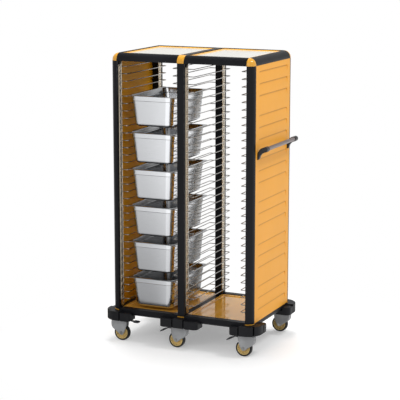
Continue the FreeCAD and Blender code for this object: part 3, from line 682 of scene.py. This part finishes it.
class TRAYCART_OT_panels(Dresser, bpy.types.Operator):
    """Build the ribbed side panels and the dished roof and floor pans"""
    bl_idname = "tray_cart.panels"
    bl_label = "Panels and pans"

    def build(self, sizes):
        for where, side in (("left", -1), ("right", 1)):
            self.side_panel(sizes, "side_panel_" + where, side)
            self.pan(sizes, "roof_panel_" + where)
            self.pan(sizes, "floor_pan_" + where)

    def side_panel(self, sizes, node, side):
        """A flat sheet whose ribs are pressed in deep at the top and run out at the foot."""
        low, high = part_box(node)
        face_x = outer(low, high, side, 0)[0]
        tops = [sizes.rib_top - sizes.rib_group_pitch * group - sizes.rib_pitch * rib
                for group in range(6) for rib in range(3)]
        ends = (low.y + sizes.rib_margin, high.y - sizes.rib_margin)
        bm = bmesh.new()
        block(bm, low, high)
        for y in ends:
            cut(bm, "Y", y)
        for top in tops:
            cut(bm, "Z", top)
            cut(bm, "Z", top - sizes.rib_band)
        ribs = []
        for face in bm.faces:
            middle = face.calc_center_median()
            outside = abs(middle.x - face_x) < TIGHT and ends[0] < middle.y < ends[1]
            if outside and any(top - sizes.rib_band < middle.z < top for top in tops):
                ribs.append(face)
        floors = bmesh.ops.extrude_discrete_faces(bm, faces=ribs)["faces"]
        deep = [corner for face in floors for corner in face.verts
                if any(abs(corner.co.z - top) < TIGHT for top in tops)]
        bmesh.ops.translate(bm, vec=(-side * sizes.rib_depth, 0, 0), verts=deep)
        bmesh.ops.remove_doubles(bm, verts=bm.verts, dist=MERGE)
        corners = [edge for edge in bm.edges
                   if abs(edge.verts[0].co.x - edge.verts[1].co.x) > 0.003
                   and edge.calc_length() < sizes.rib_depth * 1.01]
        bevel(bm, corners, sizes.rib_corner, 6)
        soften(bm, 0.0007)
        piece = keep(bm, node + "_sheet", "frame", "panel", [node])
        self.mark_depth(piece.data, face_x, sizes.rib_depth)
        # the inner face gets the brighter, deeper yellow: painted light
        self.second_finish(piece.data, "lining", lambda face: face.normal.x * side < -0.9)

    def pan(self, sizes, node):
        low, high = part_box(node)
        bm = bmesh.new()
        block(bm, low, high)
        top = [face for face in bm.faces if face.calc_center_median().z > high.z - TIGHT]
        bmesh.ops.inset_region(bm, faces=top, thickness=sizes.pan_border, use_even_offset=True)
        slope = 0.004
        bmesh.ops.inset_region(bm, faces=top, thickness=slope, depth=-sizes.pan_dish,
                               use_even_offset=True)
        soften(bm, 0.0012, 3)
        piece = keep(bm, node + "_sheet", "frame", "pan", [node])
        self.second_finish(piece.data, "profile", lambda face: face.normal.z < -0.9)
        if "roof" in node:
            rim = sizes.pan_border + 0.003
            # the field inside the border gets the pale painted reflection
            self.second_finish(piece.data, "roof", lambda face: face.normal.z > 0.9 and all(
                low[axis] + rim < face.center[axis] < high[axis] - rim for axis in (0, 1)))

    def mark_depth(self, mesh, face_x, deepest):
        """Store how deep each corner lies in a rib, from 0 at the face to 1, as the mask of the
        panel's painted shade.
        """
        depth = mesh.attributes.new("rib_depth", "FLOAT", "POINT")
        for corner in mesh.vertices:
            below = abs(corner.co.x - face_x) / deepest
            depth.data[corner.index].value = below if below < 1.1 else 0.0

    def second_finish(self, mesh, finish, wanted):
        """Give some of a sheet's faces a finish of their own."""
        mesh.materials.append(material(finish))
        for face in mesh.polygons:
            if wanted(face):
                face.material_index = len(mesh.materials) - 1


class TRAYCART_OT_rack(Dresser, bpy.types.Operator):
    """Build the slotted rack strips and the bent wire runners"""
    bl_idname = "tray_cart.rack"
    bl_label = "Strips and runners"

    def build(self, sizes):
        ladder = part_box("runners_left_bay_outer")
        radius = 0.00265
        first = ladder[1].z - radius
        pitch = (ladder[1].z - ladder[0].z - 2 * radius) / (LEVELS - 1)
        self.strips(sizes, first, pitch)
        for where, side in LADDERS.items():
            self.runners(sizes, "runners_" + where, side, radius, first, pitch)

    def strips(self, sizes, first, pitch):
        """Eight punched strips with a slot between every two runners."""
        low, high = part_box("rack_strips")
        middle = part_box("post_front_middle")
        thick, wide = 0.002, 0.04
        bm = bmesh.new()
        for x in (low.x, middle[0].x - GAP - thick, middle[1].x + GAP, high.x - thick):
            for y in (low.y, high.y - wide):
                self.strip(bm, sizes, x + thick / 2, y, y + wide, low.z, high.z, first, pitch)
        bmesh.ops.recalc_face_normals(bm, faces=bm.faces)
        keep_sheet(bm, "rack_strips_punched", "frame", "strip", "rack_strips",
                   thick * 0.98, 0)

    def strip(self, bm, sizes, x, near_y, far_y, low, high, first, pitch):
        flat = bmesh.new()
        flat.faces.new([flat.verts.new((x, y, z)) for y, z in (
            (near_y, low), (far_y, low), (far_y, high), (near_y, high))])
        centre = (near_y + far_y) / 2
        half_y, half_z = sizes.slot_width / 2, sizes.slot_height / 2
        levels = [first - pitch * (step + 0.5) for step in range(LEVELS - 1)]
        for y in (centre - half_y, centre + half_y):
            cut(flat, "Y", y)
        for level in levels:
            cut(flat, "Z", level - half_z)
            cut(flat, "Z", level + half_z)
        holes = [face for face in flat.faces
                 if abs(face.calc_center_median().y - centre) < half_y
                 and any(abs(face.calc_center_median().z - level) < 0.001 for level in levels)]
        bmesh.ops.delete(flat, geom=holes, context="FACES")
        add(bm, flat)

    def runners(self, sizes, node, side, radius, first, pitch):
        """A ladder of flat U-shaped wires hooked into a front and a rear strip."""
        low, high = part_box(node)
        foot = outer(low, high, -side, 0)[0]
        reach = high.x - low.x - radius
        leg = high.y - radius
        turn = sizes.wire_bend
        bm = bmesh.new()
        wire = Wire(bm, (0, -leg, 0), radius, sizes.wire_sides)
        wire.run((reach - turn, 0, 0))
        wire.bend((reach - turn, turn - leg, 0))
        wire.run((0, 2 * (leg - turn), 0))
        wire.bend((reach - turn, leg - turn, 0))
        wire.run((turn - reach, 0, 0))
        wire.close()
        bmesh.ops.transform(bm, matrix=Matrix.Translation((foot, 0, first))
                            @ Matrix.Diagonal((side, 1, 1, 1)), verts=bm.verts)
        pattern = bm.verts[:] + bm.edges[:] + bm.faces[:]
        for level in range(1, LEVELS):
            made = bmesh.ops.duplicate(bm, geom=pattern)["geom"]
            bmesh.ops.translate(bm, vec=(0, 0, -pitch * level), verts=vertices(made))
        keep(bm, node + "_wires", "frame", "wire", [node])


class TRAYCART_OT_containers(Dresser, bpy.types.Operator):
    """Build the six deep steel containers"""
    bl_idname = "tray_cart.containers"
    bl_label = "Containers"

    def build(self, sizes):
        for number in range(1, 7):
            self.container(sizes, number)

    def container(self, sizes, number):
        """A drawn sheet: flange with a turned lip, mouth, shoulder, walls and a round foot."""
        node = "container_%d" % number
        low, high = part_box(node)
        centre = (low + high) / 2
        half_x, half_y = (high.x - low.x) / 2, (high.y - low.y) / 2
        rim = high.z
        round_off = sizes.tub_corner
        levels = [(0, 0.022, -0.0019), (0, 0.022, -0.0008), (0.0006, 0.0215, -0.0003),
                  (0.0118, round_off + 0.002, 0), (0.0138, round_off + 0.001, -0.0008),
                  (0.0150, round_off, -0.0035), (0.0150, round_off, -0.0305),
                  (0.0156, round_off, -0.0320), (0.0176, round_off - 0.002, -0.0335),
                  (0.0180, round_off - 0.002, -0.0352), (0.0300, round_off - 0.004, -0.1740),
                  (0.0318, round_off - 0.006, -0.1810), (0.0358, round_off - 0.009, -0.1868),
                  (0.0420, round_off - 0.013, -0.1905), (0.0480, round_off - 0.018, -0.1918)]
        bm = bmesh.new()
        last = None
        for inset, radius, drop in levels:
            edges = rounded_ring(bm, centre, half_x - inset, half_y - inset, radius, rim + drop)
            if last:
                bmesh.ops.bridge_loops(bm, edges=last + edges)
            last = edges
        bmesh.ops.edgeloop_fill(bm, edges=last)
        bmesh.ops.remove_doubles(bm, verts=bm.verts, dist=MERGE)
        bmesh.ops.recalc_face_normals(bm, faces=bm.faces)
        base = min(bm.faces, key=lambda face: face.calc_center_median().z)
        if base.normal.z > 0:
            bmesh.ops.reverse_faces(bm, faces=bm.faces)
        wall = keep_sheet(bm, node + "_sheet", node + "_body", "steel", node,
                          sizes.tub_sheet, -1)
        # the inner face takes the darker steel: painted shade
        wall.id_data.data.materials.append(material("inside"))
        wall.material_offset = 1


class TRAYCART_OT_bumpers(Dresser, bpy.types.Operator):
    """Build the six moulded bumpers"""
    bl_idname = "tray_cart.bumpers"
    bl_label = "Bumpers"

    def build(self, sizes):
        for where, (side, end) in CORNERS.items():
            self.corner(sizes, "bumper_" + where, side, end)
        for where, (_, end) in MIDDLES.items():
            self.middle(sizes, "bumper_" + where, end)

    def slot(self, start, out, deep=0.02, wide=0.008):
        """The four corners of a slot cut into an outer face, walking away from the corner."""
        return [(start, out - PAST), (start, out + deep), (start + wide, out + deep),
                (start + wide, out - PAST)]

    def corner(self, sizes, node, side, end):
        """A foot round the frame's corner with a slot in each leg and one across its tip."""
        low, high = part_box(node)
        x, y = outer(low, high, side, end)
        out, leg, deep = -sizes.reach, high.x - low.x - sizes.reach, PROFILE
        far, inner = leg + 0.04, deep + GAP
        slot, lobe = 0.066, 0.070

        def place(points):
            return [(x - side * (u - out), y - end * (v - out)) for u, v in points]

        def both(points):
            return points, [(v, u) for u, v in points]

        half, near, beyond = 0.004 * math.sqrt(2), 0.075, 0.105
        mitre = [(deep - (r - s) * math.sqrt(0.5), deep - (r + s) * math.sqrt(0.5))
                 for r, s in ((near, -half), (near, half), (beyond, half), (beyond, -half))]
        seat = [(inner, -GAP), (far, -GAP), (far, far), (-GAP, far), (-GAP, inner),
                (inner, inner)]
        self.foot(sizes, node, place,
                  [(out, out), (leg, out), (leg, deep), (deep, deep), (deep, leg), (out, leg)],
                  [([(out, out)], sizes.reach + deep, 14),
                   ([(leg, out), (out, leg)], sizes.lobe, 8)],
                  both([(lobe, out - PAST), (far, out - PAST), (far, PAST), (lobe, PAST)]),
                  [(points, False) for points in (*both(self.slot(slot, out)), mitre)]
                  + [(seat, True)])

    def middle(self, sizes, node, end):
        """A straight foot with a slot on each hand."""
        low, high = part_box(node)
        y = outer(low, high, 0, end)[1]
        x = (low.x + high.x) / 2
        wing, out, deep = (high.x - low.x) / 2, -sizes.reach, PROFILE
        post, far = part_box("post_front_middle")[1].x - x + GAP, wing + PAST
        slot, lobe = 0.034, 0.038

        def place(points):
            return [(x + u, y - end * (v - out)) for u, v in points]

        def both(points):
            return [[(hand * u, v) for u, v in points] for hand in (-1, 1)]

        seats = both([(post, -GAP), (far, -GAP), (far, deep + PAST), (post, deep + PAST)])
        self.foot(sizes, node, place, [(wing, out), (wing, deep), (-wing, deep), (-wing, out)],
                  [([(wing, out), (-wing, out)], sizes.lobe, 8)],
                  both([(lobe, out - PAST), (far, out - PAST), (far, PAST), (lobe, PAST)]),
                  [cut for points, seat in zip(both(self.slot(slot, out)), seats)
                   for cut in ((points, False), (seat, True))])

    def foot(self, sizes, node, place, outline, rounded, lobes, cuts):
        """Extrude a foot, round its corners, lower its lobes, then cut slots and the seat."""
        low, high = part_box(node)
        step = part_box("bottom_beam_left")[0].z - GAP
        bm = bmesh.new()
        prism(bm, place(outline), "Z", low.z, high.z)
        for points, radius, steps in rounded:
            bevel(bm, [edge for point in place(points) for edge in edges_at(bm, *point)],
                  radius, steps)
        for points in lobes:
            bm = cut_away(bm, place(points), high.z - sizes.lobe_drop, high.z)
        soften(bm, sizes.bumper_edge, 4)
        for points, is_seat in cuts:
            bm = cut_away(bm, place(points), step if is_seat else low.z - PAST, high.z)
        keep(bm, node + "_moulding", "frame", "bumper", [node])


class TRAYCART_OT_casters(Dresser, bpy.types.Operator):
    """Build the swivel forks, the wheels and the brake pedals"""
    bl_idname = "tray_cart.casters"
    bl_label = "Casters"

    def build(self, sizes):
        joints = {joint["name"]: joint for joint in frame["joints"]}
        for where in list(CORNERS) + list(MIDDLES):
            swivel = Vector(joints["swivel_%s_turn" % where]["pos_m"])
            axle = Vector(joints["wheel_%s_roll" % where]["pos_m"])
            trail = 1 if axle.x > swivel.x else -1
            pedal = joints.get("pedal_%s_press" % where)
            self.fork(where, swivel, trail, pedal)
            self.wheel(sizes, where, axle)
            if pedal:
                self.pedal(where, Vector(pedal["pos_m"]), trail, where == "front_left")

    def fork(self, where, swivel, trail, pedal):
        """A domed housing round the wheel's upper part, with two legs down to the axle."""
        node = "caster_fork_" + where
        half, top, head = 0.023, 0.141, 0.1418
        well_radius, well_width = 0.056, 0.0345
        side_view = [(-0.046, top), (-0.060, 0.138), (-0.069, 0.130), (-0.072, 0.117),
                     (-0.070, 0.098), (-0.063, 0.0745), (-0.055, 0.0555), (-0.047, 0.0415),
                     (-0.039, 0.0370), (-0.027, 0.0378), (-0.016, 0.0465), (-0.004, 0.0575),
                     (0.014, 0.0685), (0.028, 0.0795), (0.035, 0.0925), (0.037, 0.113),
                     (0.035, 0.128), (0.028, 0.137), (0.014, top)]
        bm = bmesh.new()
        prism(bm, side_view, "Y", -half, half)
        soften(bm, 0.0075, 5, lambda edge: all(abs(abs(end.co.y) - half) < TIGHT
                                               for end in edge.verts))
        well = bmesh.new()
        disc(well, (-TRAIL, 0, WHEEL), well_radius, well_width, "Y", 64)
        bm = carve(bm, well)
        if pedal:
            notch = bmesh.new()
            block(notch, (-0.09, -0.0125, top - 0.042), (-0.049, 0.0125, top + 0.005))
            bm = carve(bm, notch)
        self.put(bm, (swivel.x, swivel.y, 0), trail)
        keep(bm, node + "_housing", "swivel_" + where, "fork", [node])

        race = bmesh.new()
        disc(race, (0, 0, head), 0.027, 0.0022, "Z", 48)
        for hand in (-1, 1):  # a washer and a nut
            disc(race, (-TRAIL, hand * 0.0238, WHEEL), 0.0105, 0.0014, "Y", 24)
            disc(race, (-TRAIL, hand * 0.0256, WHEEL), 0.0085, 0.0026, "Y", 6)
        if pedal:  # its pivot
            disc(race, (-0.060, 0, top - 0.017), 0.0032, 0.047, "Y", 16)
        soften(race, 0.0006)
        self.put(race, (swivel.x, swivel.y, 0), trail)
        keep(race, "caster_hardware_" + where, "swivel_" + where, "zinc", ())

    def put(self, bm, place, trail, tilt=Matrix.Identity(4)):
        """Tilt a shape drawn about the origin and trailing to -X, and move it to its place."""
        turn = Matrix.Rotation(math.pi if trail > 0 else 0, 4, "Z")
        bmesh.ops.transform(bm, matrix=Matrix.Translation(place) @ turn @ tilt, verts=bm.verts)

    def wheel(self, sizes, where, axle):
        """A moulded centre with spokes and a bonded rubber tread keyed through it."""
        node = "caster_wheel_" + where
        seat = WHEEL - sizes.tyre
        tyre = bmesh.new()
        turned(tyre, [(seat, 0.0138), (seat + 0.0035, 0.0157), (WHEEL - 0.002, 0.0145),
                      (WHEEL - 0.0004, 0.0110), (WHEEL, 0.0060)], axle)
        self.rays(tyre, axle, 20, seat - 0.0086, seat - 0.0050, 0.0141, 0.0016)
        keep(tyre, "wheel_tread_" + where, "wheel_" + where, "tread", [node])

        rim = bmesh.new()
        turned(rim, [(0.0062, 0.0150), (0.0125, 0.0150), (0.0140, 0.0070), (0.0290, 0.0055),
                     (0.0330, 0.0115), (0.0350, 0.0137), (seat - 0.0001, 0.0137)], axle)
        self.rays(rim, axle, 10, 0.0120, 0.0335, 0.0105, 0.0014)
        keep(rim, "wheel_centre_" + where, "wheel_" + where, "rim", ())

    def rays(self, bm, axle, count, near, far, half_wide, half_thick):
        """Set blocks round an axle like the spokes of a wheel."""
        for step in range(count):
            ray = bmesh.new()
            block(ray, (near, -half_wide, -half_thick), (far, half_wide, half_thick))
            turn = Matrix.Rotation(math.radians(360 * step / count), 4, "Y")
            bmesh.ops.transform(ray, matrix=Matrix.Translation(axle) @ turn, verts=ray.verts)
            add(bm, ray)

    def pedal(self, where, pivot, trail, is_raised):
        """A curved arm on the pivot, with a wide ribbed tread at its end."""
        node = "brake_pedal_" + where
        bm = bmesh.new()
        prism(bm, [(0.0058, 0.0055), (-0.004, 0.0068), (-0.034, 0.0018), (-0.062, -0.0140),
                   (-0.087, -0.0262), (-0.087, -0.0315), (-0.060, -0.0208), (-0.034, -0.0062),
                   (-0.004, -0.0078), (0.0058, -0.0055)], "Y", -0.0085, 0.0085)
        prism(bm, [(-0.058, -0.0112), (-0.0875, -0.0250), (-0.0895, -0.0325),
                   (-0.060, -0.0208)], "Y", -0.0198, 0.0198)
        ends = [(edge, *(end.co for end in edge.verts)) for edge in bm.edges]
        bevel(bm, [edge for edge, a, b in ends if abs(a.y - b.y) < TIGHT and abs(a.y) > 0.019
                   and max(a.x, b.x) < -0.085], 0.004, 4)
        soften(bm, 0.0014, 3)
        slope = 0.468
        for step in range(4):
            along = 0.063 + 0.006 * step
            rise = -0.0112 - (along - 0.058) * slope
            rib = bmesh.new()
            block(rib, (-along - 0.001, -0.017, rise - 0.001),
                  (-along + 0.001, 0.017, rise + 0.0012))
            add(bm, rib)
        self.put(bm, pivot, trail, Matrix.Rotation(math.radians(22 if is_raised else 0), 4, "Y"))
        keep(bm, node + "_lever", "pedal_" + where, "pedal", [node])


class TRAYCART_OT_handle(Dresser, bpy.types.Operator):
    """Build the push bar and its two brackets"""
    bl_idname = "tray_cart.handle"
    bl_label = "Push bar"

    def build(self, sizes):
        low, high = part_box("handle_bar")
        centre = (low + high) / 2
        bm = bmesh.new()
        disc(bm, centre, (high.z - low.z) / 2, high.y - low.y, "Y", 48)
        soften(bm, 0.0012, 3)
        keep(bm, "handle_bar_tube", "frame", "tube", ["handle_bar"])
        for where, end in (("front", -1), ("rear", 1)):
            self.bracket("handle_bracket_" + where, end, centre)

    def bracket(self, node, end, bar):
        """A foot on the panel's margin, a curved arm and a sleeve round the bar's end."""
        low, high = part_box(node)
        middle = (low.y + high.y) / 2
        face, foot = low.x, low.z
        x, z = bar.x - face, bar.z - foot
        arm = [(0.0003, 0), (0.0085, 0), (0.0130, 0.010), (0.0190, 0.027), (0.0320, 0.040),
               (x + 0.004, z - 0.0153), (x + 0.010, z), (x - 0.002, z + 0.0158), (0.0280, 0.0735),
               (0.0140, 0.0635), (0.0040, 0.0470), (0.0003, 0.0340)]
        bm = bmesh.new()
        half = 0.0118
        prism(bm, [(face + u, foot + v) for u, v in arm], "Y", middle - half, middle + half)
        soften(bm, 0.0045, 4, lambda edge: edge.verts[0].co.x + edge.verts[1].co.x
               > 2 * face + 0.004)
        sleeve = bmesh.new()
        start, stop, radius = 0.218, 0.2608, 0.0163
        disc(sleeve, (bar.x, end * (start + stop) / 2, bar.z), radius, stop - start, "Y", 40)
        soften(sleeve, 0.003, 4)
        add(bm, sleeve)
        keep(bm, node + "_moulding", "frame", "bracket", [node])

        screw = bmesh.new()
        disc(screw, (face + 0.0098, middle, foot + 0.009), 0.0042, 0.0024, "X", 20)
        soften(screw, 0.0009, 3)
        keep(screw, node + "_screw", "frame", "zinc", ())


# ------------------------------------------------------------ stage

class TRAYCART_OT_stage(bpy.types.Operator):
    """Build the floor, the light and the camera"""
    bl_idname = "tray_cart.stage"
    bl_label = "Stage"
    bl_options = {"REGISTER", "UNDO"}

    def execute(self, context):
        scene = context.scene
        scene.view_settings.view_transform = "Standard"
        self.floor(scene)
        self.world(scene)
        self.lamp(scene, "over", (-0.6, 1.0, 5.2), 2.4, 170)
        self.lamp(scene, "front", (0.9, -5.8, 4.4), 2.8, 75)
        self.lamp(scene, "side", (3.0, -0.4, 5.6), 1.0, 80)
        self.camera(scene)
        return {"FINISHED"}

    def floor(self, scene):
        """A matt floor that keeps the shadow and runs out into plain white."""
        bm = bmesh.new()
        bmesh.ops.create_grid(bm, x_segments=1, y_segments=1, size=60,
                              matrix=Matrix.Translation((0, 0, -0.0004)))
        floor = bpy.data.objects.new("studio_floor", baked(bm, "studio_floor"))
        scene.collection.objects.link(floor)
        pale = Finish(bpy.data.materials.new("pale_floor"))
        pale.tree.nodes.remove(pale.shader)

        def lit(strength):
            return pale.node("Emission", inputs={"Color": WHITE, "Strength": strength})

        seen = pale.node("LightPath", output="Is Camera Ray")
        mirrored = pale.node("LightPath", output="Is Glossy Ray")
        matt = pale.node("BsdfDiffuse", inputs={"Color": (0.80, 0.80, 0.80, 1)})
        near = pale.node("AddShader", inputs={0: matt, 1: lit(seen * 0.28)})
        far = pale.ramp(self.away(pale, (-0.22, 0.12, 0)), 0.55, 1.5)
        both = pale.node("MixShader", inputs={0: seen * far, 1: near, 2: lit(1.0)})
        # to glossy rays the floor glows instead: a painted reflection
        both = pale.node("MixShader", inputs={0: mirrored, 1: both, 2: lit(self.painted_reflection_glow(pale))})
        feed(pale.tree, pale.tree.nodes["Material Output"].inputs["Surface"], both)
        floor.data.materials.append(pale.owner)

    def away(self, pale, shift=(0, 0, 0)):
        """How far a point of the floor lies from the middle."""
        return pale.node("VectorMath", {"operation": "LENGTH"},
                         {"Vector": pale.place(shift=shift)}, "Value")

    def painted_reflection_glow(self, pale):
        """How bright polished metal sees the floor, a painted reflection: to glossy rays the
        floor glows, brighter to the right of a slanted line and towards the back, and dimmer near
        the cart as painted shade.
        """
        band_across, back = (pale.node("SeparateXYZ", inputs={"Vector": where}, output=axis)
                      for where, axis in ((pale.place(shift=(0.042, 0, 0),
                                                      turn=math.radians(26.1)), "X"),
                                          (pale.place(), "Y")))
        bright = 1 + 0.95 * pale.ramp(band_across, -0.01, 0.02) + 0.5 * pale.ramp(back, 0.2, 0.6)
        return (0.45 + 0.34 * pale.ramp(self.away(pale), 1.0, 3.6)) * bright

    def world(self, scene):
        """Even white light from all round, a little less from low down."""
        scene.world = scene.world or bpy.data.worlds.new("studio")
        sky = Finish(scene.world)
        back = sky.tree.nodes.get("Background")
        up = sky.node("SeparateXYZ", inputs={"Vector": sky.node("TexCoord", output="Generated")},
                      output="Z")
        seen = sky.node("LightPath", output="Is Camera Ray")
        light = 0.86 - 0.36 * sky.ramp(up, 0.25, 0.85)
        feed(sky.tree, back.inputs["Strength"], light * (1 - seen) + seen)
        feed(sky.tree, back.inputs["Color"], WHITE)

    def lamp(self, scene, name, place, size, power):
        """A soft lamp aimed at the cart; the one above is left out of reflections."""
        light = bpy.data.lights.new(name, "AREA")
        light.size = size
        light.energy = power
        lamp = bpy.data.objects.new(name, light)
        lamp.location = place
        middle = Vector((0, 0, 0.9))
        aim = middle - Vector(place)
        lamp.rotation_euler = aim.to_track_quat("-Z", "Y").to_euler()
        lamp.visible_camera = False
        lamp.visible_glossy = name != "over"
        scene.collection.objects.link(lamp)

    def camera(self, scene):
        """The photograph's own viewpoint: 11 degrees down from the right of the front."""
        lens = bpy.data.cameras.new("photograph")
        lens.sensor_width = 36
        lens.lens = 129.51
        camera = bpy.data.objects.new("photograph", lens)
        camera.location = (3.71055, -8.1894, 2.6468)
        camera.rotation_euler = (math.radians(78.972), 0, math.radians(24.52))
        scene.collection.objects.link(camera)
        scene.camera = camera


class TRAYCART_PT_sidebar(bpy.types.Panel):
    """The cart's sizes, colours and steps"""
    bl_idname = "TRAYCART_PT_sidebar"
    bl_label = "Tray Cart"
    bl_space_type = "VIEW_3D"
    bl_region_type = "UI"
    bl_category = "Tray Cart"

    def draw(self, context):
        for group in (context.scene.tray_cart_sizes, context.scene.tray_cart_colours):
            column = self.layout.column(align=True)
            for name in group.bl_rna.properties.keys():
                if name not in ("rna_type", "name"):
                    column.prop(group, name)
        for step in STEPS:
            self.layout.operator(step.bl_idname)


STEPS = (TRAYCART_OT_profiles, TRAYCART_OT_fittings, TRAYCART_OT_panels, TRAYCART_OT_rack,
         TRAYCART_OT_containers, TRAYCART_OT_bumpers, TRAYCART_OT_casters, TRAYCART_OT_handle,
         TRAYCART_OT_stage)
CLASSES = (TrayCartSizes, TrayCartColours) + STEPS + (TRAYCART_PT_sidebar,)


def register():
    for item in CLASSES:
        bpy.utils.register_class(item)
    bpy.types.Scene.tray_cart_sizes = PointerProperty(type=TrayCartSizes)
    bpy.types.Scene.tray_cart_colours = PointerProperty(type=TrayCartColours)


def unregister():
    del bpy.types.Scene.tray_cart_colours
    del bpy.types.Scene.tray_cart_sizes
    for item in reversed(CLASSES):
        bpy.utils.unregister_class(item)


def main():
    register()
    cart = bpy.ops.tray_cart
    cart.profiles()
    cart.fittings()
    cart.panels()
    cart.rack()
    cart.containers()
    cart.bumpers()
    cart.casters()
    cart.handle()
    cart.stage()


if __name__ == "__main__":
    main()
